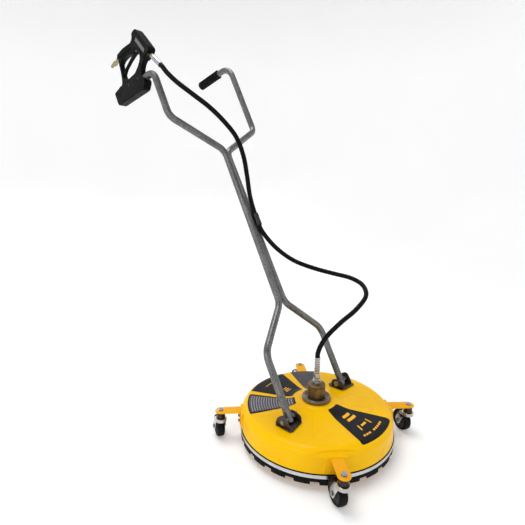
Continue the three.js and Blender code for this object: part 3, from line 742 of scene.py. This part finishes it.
# ---------------------------------------------------------------- swivel and rotor
def swivel():
    ring = [(25.8, 142.8), (49.4, 142.8), (50, 143.6), (50, 152.6), (48, 155.4), (46.5, 155.5), (45.5, 154.4),
            (43.6, 154.4), (42.6, 155.5), (39.4, 155.3), (37.6, 151), (25.8, 150.6), (25.8, 142.8)]
    shape = Shape().add(*lathe(soften(ring, 0.5, 2), 96))
    for i in range(6):
        a = radians(30 + 60 * i)
        at = Vector((44.6 * cos(a), 44.6 * sin(a), 0))
        shape.add(*hexagon(2.1, 153, 157, Matrix.Translation(at), 0.4, a))
    shape.make("swivel_flange_ring", FLANGE, "deck", "swivel_flange", "dark_steel")
    profile = [(8, 179), (20.3, 179), (20.3, 110), (25.5, 110), (25.5, 151.2), (30.2, 151.2), (30.4, 152),
               (30.4, 187.5), (29.6, 188.2), (29.6, 189.8), (30.4, 190.6), (30.4, 198.4),
               (29.6, 199.8), (27.8, 201), (21, 201), (20.4, 200.2), (18.6, 200.2), (18, 201), (8, 201),
               (8, 179)]
    piece("swivel_body_turned", *lathe(soften(profile, 0.35, 2), 96), BRONZE, "deck", "swivel_body", "bronze")
    shape = Shape()
    shape.add(*hexagon(16.9, 201.4, 213.4, edge=1.4, turn=0.35))
    threads = [(0, 213)] + [(11.7 if i % 2 else 10.7, 213.6 + i * 0.93) for i in range(9)] + [(0, 222)]
    shape.add(*lathe(threads, 48))
    shape.make("inlet_adapter_turned", ZINC, "deck", "inlet_adapter", "steel")
    piece("hose_nut_hex", *hexagon(11.9, 222.4, 240.9, edge=1.4, turn=0.1), ZINC, "deck", "hose_nut", "steel")


def ferrule(name, start, direction, length, node, body):
    """A crimped hose end: a collar, a shell pressed in five narrow bands and a rolled mouth."""
    profile = [(0, 0), (7.4, 0), (8, 0.8), (8, 5), (9.3, 7)]
    mouth = length - 6
    for i in range(5):
        low = 9 + (mouth - 9) * i / 5
        high = 9 + (mouth - 9) * (i + 1) / 5
        profile += [(9.7, low), (9.9, low + 1.2), (9.9, high - 2.2), (9.1, high - 1.2)]
    profile += [(9.9, mouth + 1), (9.9, length - 1.4), (9.5, length - 0.2), (8.7, length), (0, length)]
    return piece(name, *lathe(profile, 48, aim(start, direction)), ZINC, body, node, "zinc")


def rotor():
    profile = [(0, 56), (22, 56), (24, 58), (24, 84), (10.3, 84), (10.3, 69.6), (0, 69.6)]
    shape = Shape().add(*lathe(soften(profile, 0.9, 2), 56))
    for a in (90, 270):
        out = Vector((cos(radians(a)), sin(radians(a)), 0))
        shape.add(*hexagon(4.5, -1, -0.2, aim(out * 24.2 + Vector((0, 0, 70)), out)))
    shape.make("rotor_hub_turned", STEEL, "rotor", "rotor_hub", "steel")
    for side, name in ((1, "right"), (-1, "left")):
        corners = [(side * 24.3, 0, 66), (side * 205, 0, 66), (side * 205, side * 7, 45)]
        route = bent_line(list(zip(corners, (0, 14, 0))), 8)
        shape = Shape().add(*sweep(route, 5.95, 20))
        shape.add(*plug(7.2, 0.3, 8, 6, aim((side * 26, 0, 66), (side, 0, 0)), 0.8))
        shape.make(f"spray_arm_{name}_tube", ZINC, "rotor", f"spray_arm_{name}", "steel")
        down = Vector((0, side * 7, -21)).normalized()
        tip = Vector((side * 205, side * 7, 45)) + down * 0.3
        profile = [(0, 0.1), (6, 0.1), (6.9, 1), (6.9, 7), (5, 9), (4.4, 10.9), (1.6, 10.9), (0.9, 8.5),
                   (0, 8.5)]
        piece(f"nozzle_{name}_tip", *lathe(profile, 6, aim(tip, down)), BRASS, "rotor",
              f"nozzle_{name}", "brass")


swivel()
ferrule("lower_ferrule_crimp", (0, 0, 241.3), (0, 0, 1), 56.4, "lower_ferrule", "deck")
rotor()


# ---------------------------------------------------------------- castors
CASTOR_R, HEADING, TRAIL, WHEEL_R = 335.0, -30.0, 28.0, 37.5


def castor_arm(name, azimuth):
    near, top, thick = 266.1, 111.0, 4.0
    turn = spin(azimuth)
    half = 19.5
    nose = [(CASTOR_R + half * cos(a), half * sin(a)) for a in
            (radians(-90 + 10 * k) for k in range(19))]
    shape = Shape()
    shape.add(*prism([(near, -half), *nose, (near, half)], top - thick, top, along_z, 0.8), turn)
    shape.add(*prism(rectangle(half, 64, top - 0.5), near, near + thick, along_x, 0.8, 2), turn)
    middle = near + thick * 0.5
    bend = [(middle, top - 9), (middle, top - 2), (near + 11, top - 2), (near + 6, top - 5.4),
            (near + 4.6, top - 7)]
    shape.add(*prism(bend, 0.4 - half, half - 0.4, along_y, 0.3), turn)
    shape.make(f"castor_arm_{name}_plate", ARM_PAINT, "deck", f"castor_arm_{name}", "arm_paint")
    shape = Shape()
    for z in (88, 69.5):
        at = turn @ Vector((near + thick, 0, z))
        out = turn.to_3x3() @ Vector((1, 0, 0))
        shape.add(*washer(2, 6.2, 0, 1.1, 24, aim(at, out), 0.3))
        shape.add(*hexagon(5, 1.1, 5, aim(at, out), 0.7, 0.4))
    shape.make(f"castor_arm_{name}_bolts", DARK, "deck", slot="steel")


def castor(name, azimuth):
    angle = radians(azimuth)
    place = Matrix.Translation((CASTOR_R * cos(angle), CASTOR_R * sin(angle), 0))
    place = place @ spin(HEADING)
    shape = Shape()
    leg = [(-19, 83), (-40, 46), (-38, 32), (-27, 23), (-18, 28), (-13, 42), (6, 76), (6, 83)]
    for x in (-19, 16.5):
        shape.add(*prism(leg, x, x + 2.5, along_x, 0.7, 7), place)
    crown = [(6, 83), (15.2, 83), (16.4, 84), (18.4, 84), (20, 82.4), (20, 78.2), (18.8, 77), (6, 77),
             (6, 83)]
    skirt = [(14, 77.2), (16.8, 77.2), (18.4, 76), (19.3, 72), (19.8, 72), (19.6, 77), (18.6, 78.6),
             (14, 78.6), (14, 77.2)]
    shape.add(*lathe(soften(crown, 0.5, 2), 64, place))
    shape.add(*lathe(soften(skirt, 0.4, 2), 64, place))
    shape.make(f"castor_fork_{name}_stamping", CHROME, f"castor_{name}", f"castor_fork_{name}", "chrome")
    # The race's dark brown colour is partly painted shade of the gap under the arm.
    race = [(6, 83.2), (14.3, 83.2), (14.5, 84), (14.3, 89), (13.2, 90.4), (13.2, 91.8), (14.3, 93),
            (14.5, 98), (14.3, 102.6), (12.5, 106.2), (6, 106.2), (6, 83.2)]
    piece(f"castor_race_{name}_turned", *lathe(soften(race, 0.3, 2), 48, place), RACE, f"castor_{name}",
          slot="dark_steel")
    centre = Vector((0, -TRAIL, WHEEL_R))
    axle = place @ aim(centre, (1, 0, 0))
    shape = Shape()
    shape.add(*plug(4.9, -19.4, 19.4, 24, axle))
    for low, high in ((-22.9, -19.4), (19.4, 22.9)):
        shape.add(*hexagon(7.9, low, high, axle, 0.7, 0.3))
    shape.make(f"castor_axle_{name}_bolt", STEEL, f"castor_{name}", f"castor_axle_{name}", "steel")
    tread = [(26.5, -10.5), (28.5, -13.2), (33.5, -13.2), (36.6, -10.2), (37.45, -5)]
    tread = soften(mirrored(tread, [(37.5, 0)]), 1.2, 2)
    tyre = Shape().add(*lathe(tread + [tread[0]], 96, axle))
    tyre.make(f"castor_wheel_{name}_tyre", TYRE, f"wheel_{name}", f"castor_wheel_{name}", "wheel_rubber")
    half = [(5.4, -13.9), (9.5, -13.9), (10, -13.2), (10.4, -9.6), (24, -9), (25, -11.6), (26.8, -11.6)]
    shape = Shape().add(*lathe(mirrored(half) + half[:1], 64, axle))
    for side in (-1, 1):
        for i in range(6):
            spoke = axle @ spin(60 * i)
            low, high = sorted((side * 8.8, side * 11.2))
            arm = [(9.6, -1.3), (24.6, -1.6), (24.6, 1.6), (9.6, 1.3)]
            shape.add(*prism(arm, low, high, along_z, 0.5), spoke)
    shape.make(f"castor_wheel_{name}_hub", HUB, f"wheel_{name}", slot="wheel_rubber")
    pin = Shape()
    pin.add(*plug(4.9, 84.2, 112, 24, place))
    pin.add(*washer(5, 10, 111.3, 112.5, 40, place, 0.35))
    pin.add(*hexagon(8.9, 112.5, 117.6, place, 0.9, 0.5))
    pin.add(*lathe([(0, 117), (4.9, 117), (4.9, 118.3), (4.2, 119), (0, 119)], 24, place))
    pin.make(f"kingpin_{name}_bolt", ZINC, "deck", f"kingpin_{name}", "steel")


for name, azimuth in ANGLES.items():
    castor_arm(name, azimuth)
    castor(name, azimuth)


# ---------------------------------------------------------------- handle
LEAN, HOOK_DROP, BARREL_DROP = radians(62.6), radians(15), radians(38)
LEG_X, HAND_X, TUBE_R, PIVOT_ALONG = 165.4, 219.0, 12.7, 24.0
HANDLE_UP = Vector((0, -cos(LEAN), sin(LEAN)))
HANDLE_OUT = Vector((0, sin(LEAN), cos(LEAN)))
HOOK = Vector((0, -cos(HOOK_DROP), -sin(HOOK_DROP)))


def on_handle(x, along, out=0.0):
    return Vector((x, 15.2, 125.4)) + HANDLE_UP * along + HANDLE_OUT * out


PIVOT = on_handle(0, PIVOT_ALONG)


def handle_tube(name, side, hook_along, hook_bend, hook_length, out):
    top = on_handle(side * HAND_X, hook_along)
    line = bent_line([
        (on_handle(side * LEG_X, PIVOT_ALONG - 11), 0),
        (on_handle(side * LEG_X, 239), 70),
        (on_handle(side * 13.4, 379), 60),
        (on_handle(side * 11.5, 998, out), 45),
        (on_handle(side * HAND_X, 1116), 40),
        (top, hook_bend),
        (top + HOOK * hook_length, 0),
    ], 10)
    fine = [line[0]]
    for a, b in zip(line, line[1:]):
        steps = max(1, round((b - a).length / 30))
        fine += [a.lerp(b, k / steps) for k in range(1, steps + 1)]
    piece(f"handle_tube_{name}_bent", *sweep(fine, TUBE_R - 0.05, 32), TUBE, "handle",
          f"handle_tube_{name}", "tube_paint")


def hand_grip():
    """A ribbed rubber grip with a collar at its mouth and a rounded closed end."""
    start = on_handle(-HAND_X, 1440) + HOOK * 70
    place = aim(start, HOOK)
    verts = []
    sides = 96
    profile = [(13.2, 0.3), (17.4, 0.1), (18.6, 1.4), (18.9, 4.5), (18.2, 6.2), (17.2, 7.5)]
    profile += [(17.6, 9 + i * 4.1) for i in range(26)]
    profile += [(17.2, 116.5), (18.4, 118), (18.7, 121), (17.8, 124.5), (15, 127.2), (9, 127.9), (0, 128)]
    for r, z in profile:
        ribbed = 9 <= z <= 113
        for k in range(sides):
            a = 2 * pi * k / sides
            rr = r + (0.95 * cos(a * 16) if ribbed else 0)
            verts.append(place @ Vector((rr * cos(a), rr * sin(a), z)))
    faces = ring_faces(len(profile), sides)
    faces.append(list(range(sides))[::-1])
    piece("hand_grip_ribbed", verts, faces, GRIP, "handle", "hand_grip", "grip_rubber")


def bracket(name, side):
    bottom, top = 130.4, 133.4
    shape = Shape()
    plate = [(128, -24), (140, -34), (192, -30), (203, -20), (205, 38), (196, 43), (140, 36), (128, 28)]
    shape.add(*prism([(side * x, y) for x, y in plate], bottom, top, along_z, 0.7, 3))
    inner = [(-22, top - 1), (-18, 156), (-4, 162), (12, 160), (33, 153), (35, top - 1)]
    outer = [(-23, top - 1), (-20, 152), (-10, 163), (3, 171), (14, 169), (22, 158), (36, top - 1)]
    for outline, x in ((inner, 137), (outer, 195)):
        low, high = sorted((side * x, side * (x + 4)))
        shape.add(*prism(outline, low, high, along_x, 0.8, 8))
    shape.make(f"handle_bracket_{name}_folded", DARK, "deck", f"handle_bracket_{name}", "dark_steel")
    place = aim(Vector((side * LEG_X, PIVOT.y, PIVOT.z)), (side, 0, 0))
    shape = Shape()
    shape.add(*plug(5.9, -30, 30, 28, place))
    shape.add(*hexagon(9.4, -37.9, -30.4, place, 1.0))
    shape.add(*washer(6, 10, -30.4, -28.8, 36, place, 0.3))
    shape.add(*washer(5.9, 9, -24, -13.4, 36, place, 0.5))
    shape.add(*washer(5.9, 9, 13.4, 29.2, 36, place, 0.5))
    shape.add(*washer(5.9, 8, 33.9, 35, 36, place, 0.3))
    shape.add(*hexagon(7.4, 35, 38, place, 0.8, 0.3))
    shape.add(*plug(4, 37.6, 38.4, 24, place, 0.3))
    shape.make(f"pivot_bolt_{name}_set", STEEL, "deck", f"pivot_bolt_{name}", "steel")


handle_tube("right", 1, 1297, 40, 160, 5)
handle_tube("left", -1, 1440, 60, 192, -7)
hand_grip()
bracket("right", 1)
bracket("left", -1)


# ---------------------------------------------------------------- trigger gun
GUN_HALF = 15.0
VALVE_OUTLET = Vector((HAND_X, -597, 1336))
BARREL = Vector((0, cos(BARREL_DROP), -sin(BARREL_DROP)))
INLET_END = Vector((HAND_X, -799.5, 1361))
GUN_RIBS = ((-700, 1392), (-796, 1372))
RIB_REACH, RIB_DEPTH, RIB_COUNT = 0.028, 0.0008, 11


def mesh_of(*nodes):
    """One mesh holding the frame's own solids of some nodes, in metres."""
    bm = bmesh.new()
    for node in nodes:
        bm.from_mesh(bpy.data.objects[node].data)
    mesh = bpy.data.meshes.new("joined")
    bm.to_mesh(mesh)
    bm.free()
    return mesh


def evaluated(obj):
    return bpy.data.meshes.new_from_object(obj.evaluated_get(bpy.context.evaluated_depsgraph_get()))


def moulded(mesh, voxel, rounds):
    """The mesh rebuilt from small voxels and smoothed, so that its edges come out rounded."""
    obj = add_object("moulding", mesh)
    remesh = obj.modifiers.new("remesh", "REMESH")
    remesh.mode = "VOXEL"
    remesh.voxel_size = voxel
    smooth = obj.modifiers.new("smooth", "SMOOTH")
    smooth.factor = 0.5
    smooth.iterations = rounds
    shape = evaluated(obj)
    bpy.data.objects.remove(obj)
    return shape


def common(mesh, other):
    """What two closed meshes have in common, as a new mesh."""
    pair = [add_object("cut", m) for m in (mesh, other)]
    cut = pair[0].modifiers.new("cut", "BOOLEAN")
    cut.operation = "INTERSECT"
    cut.solver = "FAST"
    cut.object = pair[1]
    shape = evaluated(pair[0])
    for obj in pair:
        bpy.data.objects.remove(obj)
    return shape


def place_mesh(name, mesh, body, node):
    """A piece of the gun's plastic, from a finished mesh."""
    mesh.materials.clear()
    mesh.materials.append(PLASTIC)
    obj = add_object(name, mesh)
    finish_mesh(obj, 40)
    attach(obj, body)
    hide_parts(node)


def gun_shells():
    """The gun's two mouldings: one rounded body with finger ribs, parted along its middle plane."""
    mesh = moulded(mesh_of("gun_shell_right", "gun_shell_left"), 0.0013, 9)
    ribs = [row((HAND_X, *p)) for p in GUN_RIBS]
    run = ribs[1] - ribs[0]
    for v in mesh.vertices:
        p = v.co - ribs[0]
        t = p.dot(run) / run.length_squared
        across = (p - run * t).length
        if -0.02 < t < 1.02 and across < RIB_REACH:
            wave = 0.5 - 0.5 * cos(2 * pi * t * RIB_COUNT)
            v.co += v.normal * (wave - 1) * RIB_DEPTH * min(1, (RIB_REACH - across) / 0.006)
    for name, side in (("right", 1), ("left", -1)):
        low, high = sorted((HAND_X + side * 0.15, HAND_X + side * 40))
        corners = [(x, y, z) for x in (low, high) for y in (-850, -550) for z in (1150, 1450)]
        sides = [(0, 1, 3, 2), (4, 6, 7, 5), (0, 4, 5, 1), (2, 3, 7, 6), (0, 2, 6, 4), (1, 5, 7, 3)]
        room = bpy.data.meshes.new("room")
        room.from_pydata([row(c) for c in corners], [], sides)
        half = common(mesh, room)
        half.name = f"gun_shell_{name}_moulding"
        place_mesh(half.name, half, "handle", f"gun_shell_{name}")


def gun_trigger():
    mesh = moulded(mesh_of("gun_trigger"), 0.0009, 7)
    place_mesh("gun_trigger_moulding", mesh, "trigger", "gun_trigger")


def gun_screws():
    shape = Shape()
    head = soften([(0, 0), (3.6, 0), (3.6, 0.9), (2.2, 1.1), (0.9, 0.7), (0, 0.7)], 0.3, 2)
    for y, z in ((-724, 1251), (-660, 1263)):
        place = aim((HAND_X + GUN_HALF - 0.6, y, z), (1, 0, 0))
        shape.add(*lathe(head, 28, place))
        for turn in (0, 90):
            bar = place @ spin(turn + 20)
            shape.add(*prism(rectangle(2, -0.35, 0.35), 0.8, 1.15, along_z, 0.15), bar)
    shape.make("gun_shell_screws", DARK, "handle", slot="steel")


def gun_metal():
    pin = aim((HAND_X, -672, 1360), (1, 0, 0))
    piece("trigger_pin_turned", *plug(2.95, -9.6, 9.6, 20, pin, 0.5), STEEL, "handle", "trigger_pin", "steel")
    valve = aim(VALVE_OUTLET, BARREL)
    profile = [(0, -87.9), (8.4, -87.9), (8.9, -87), (8.9, -60), (7.6, -59), (7.6, -50), (8.9, -49),
               (8.9, -1.2), (8.4, -0.4), (0, -0.4)]
    piece("gun_valve_turned", *lathe(profile, 32, valve), BRASS, "handle", "gun_valve", "brass")
    piece("gun_outlet_hex", *hexagon(8.95, 0.1, 14.9, valve, 1.1), BRASS, "handle", "gun_outlet", "brass")
    inlet = aim(INLET_END, HOOK)
    pipe = [(0, -95.9), (5.9, -95.9), (5.9, -6), (5.4, -5.4), (5.4, -4), (5.9, -3.4), (5.9, -0.4), (0, -0.4)]
    piece("gun_inlet_pipe_turned", *lathe(pipe, 28, inlet), BRASS, "handle", "gun_inlet_pipe", "brass")
    shape = Shape()
    shape.add(*hexagon(9.9, 0.1, 13.6, inlet, 1.1, 0.26))
    profile = [(0, 13), (8.6, 13.8), (7, 15), (6.9, 29.6), (8.7, 32.6), (8.95, 33.4), (8.95, 35.6),
               (8.3, 36.2), (8.3, 38), (8.95, 38.6), (8.95, 43.4), (8, 45.6), (6.4, 48), (6.4, 52),
               (5.9, 52.5), (5.9, 54.4), (6.4, 55), (6.4, 60), (5.4, 65.4), (4.4, 65.9), (3.2, 65.9),
               (3, 60), (0, 60)]
    shape.add(*lathe(profile, 40, inlet))
    shape.make("gun_inlet_plug_turned", BRASS, "handle", "gun_inlet_plug", "brass")


def gun_label():
    turn = radians(-45)

    def basis(a, b, c):
        return c, -637 + a * cos(turn) - b * sin(turn), 1371 + a * sin(turn) + b * cos(turn)

    low = HAND_X + GUN_HALF + 0.3
    piece("gun_label_foil", *prism(rectangle(36, -6.5, 6.5), low, low + 0.6, basis, 0.15, 2), FOIL,
          "handle", "gun_label_plate", "label_foil")
    shape = Shape()
    for a in (-31, 31):
        shape.add(*lathe([(0, 0), (1.6, 0), (1.5, 0.3), (0.9, 0.5), (0, 0.5)], 16,
                         aim(basis(a, 0, low + 0.5), (1, 0, 0))))
    shape.make("gun_label_pins", STEEL, "handle", slot="steel")


# ---------------------------------------------------------------- hose
HOSE_R, HOSE_START = 8.5, 298.0


def hose():
    """The high-pressure hose, from the swivel, through the guide on the tubes, to the gun's outlet."""
    up = [on_handle(-8, 700 + offset, 21) for offset in (-38, -20, 0, 20, 38)]
    end = VALVE_OUTLET + BARREL * (15.3 + 62.3)
    route = [
        (0, 0, HOSE_START), (0, 0, HOSE_START + 12), (-8, 4, 334), (-32, 14, 367), (-83, 38, 410),
        (-145, 63, 449), (-207, 68, 489), (-239, 36, 517), (-236, -8, 536), (-213, -75, 549),
        (-170, -138, 568), (-111, -189, 599), (-56, -226, 645), (-22, -250, 688), *up,
        (0, -318, 843), (8, -325, 915), (19, -333, 987), (43, -346, 1052), (81, -372, 1106),
        (123, -400, 1150), (161, -440, 1190), (194, -486, 1232), (212, -514, 1263),
        end + BARREL * 12, end,
    ]
    line, length = catmull(route, 6)
    tube = piece("hose_run", *sweep(line, HOSE_R - 0.05, 32), HOSE, None, ("hose_lower", "hose_upper"),
                 "hose_rubber")
    row(up[2])
    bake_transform(tube)
    ends = [
        bpy.data.objects["lower_ferrule_crimp"],
        ferrule("upper_ferrule_crimp", VALVE_OUTLET + BARREL * 15.3, BARREL, 62, "upper_ferrule", "handle"),
    ]


def hose_guide():
    place = aim(on_handle(-8, 700, 21), HANDLE_UP)
    lip = [(9.4, -22.6), (10.2, -23), (11.4, -22.8), (11.7, -22.2), (11.3, -20.6), (10.9, -19.8)]
    shape = Shape().add(*lathe(mirrored(lip) + [(9.15, 20), (9.15, -20), lip[0]], 48, place))
    for along in (-12, 12):
        band = [(10.9, along - 3), (11.5, along - 2.6), (11.5, along + 2.6), (10.9, along + 3)]
        band += band[:1]
        shape.add(*lathe(band, 48, place))
    shape.make("hose_guide_ring", BLACK_STEEL, "handle", "hose_guide", "steel")


gun_shells()
gun_trigger()
gun_screws()
gun_metal()
gun_label()
hose()
hose_guide()


# ---------------------------------------------------------------- carried-over parts of the frame
CARRIED = {
    "upper_bearing": STEEL,
    "lower_bearing": STEEL,
    "shaft_seal": SKIRT,
    "rotor_shaft": STEEL,
}
for node, material in CARRIED.items():
    obj = bpy.data.objects[node]
    if not obj.material_slots:
        obj.data.materials.append(material)
    for slot in obj.material_slots:
        slot.material = material


# ---------------------------------------------------------------- stage and light
WORLD_STRENGTH, FLOOR_GLOW = 0.36, 0.14


def bowl():
    """A pale floor whose edge curves up all round into a plain backdrop."""
    profile = [(0, 0), (400, 0), (1200, 0), (2600, 0)]
    profile += [(2600 + 2600 * sin(a), 2600 * (1 - cos(a))) for a in
                (radians(9 * k) for k in range(1, 11))]
    profile += [(5200, 6000)]
    verts, faces = lathe(profile, 96)
    mesh = bpy.data.meshes.new("floor")
    mesh.from_pydata([row(Vector(v) + Vector((0, -250, -0.2))) for v in verts], [], faces)
    n = Nodes("studio_white")
    tone = n.mix(n.range(n.noise(1.1, 2), 0.3, 0.7), linear(252, 252, 252), linear(249, 249, 250))
    mesh.materials.append(n.done(tone, None, None, Roughness=0.9, Specular_IOR_Level=0.1,
                                 Emission_Color=(1, 1, 1, 1), Emission_Strength=FLOOR_GLOW))
    obj = add_object("floor", mesh)
    finish_mesh(obj)


def lamp(name, at, target, size, power):
    data = bpy.data.lights.new(name, "AREA")
    data.shape = "DISK"
    data.size = size
    data.energy = power
    obj = add_object(name, data)
    obj.location = at
    obj.rotation_euler = (Vector(target) - Vector(at)).to_track_quat("-Z", "Y").to_euler()


def light():
    world = bpy.data.worlds.new("studio")
    world.use_nodes = True
    world.node_tree.nodes["Background"].inputs["Color"].default_value = (1, 1, 1, 1)
    world.node_tree.nodes["Background"].inputs["Strength"].default_value = WORLD_STRENGTH
    bpy.context.scene.world = world
    lamp("top", (0.3, -0.6, 4.2), (0, 0, 0.1), 2.4, 72)
    lamp("side", (3.4, 0.4, 2.2), (0, 0, 0.4), 0.9, 16)
    lamp("front", (-1.6, -3.4, 2.2), (0, 0, 0.4), 0.8, 12)
    view = bpy.context.scene.view_settings
    view.view_transform = "Standard"
    view.look = "None"


bowl()
light()
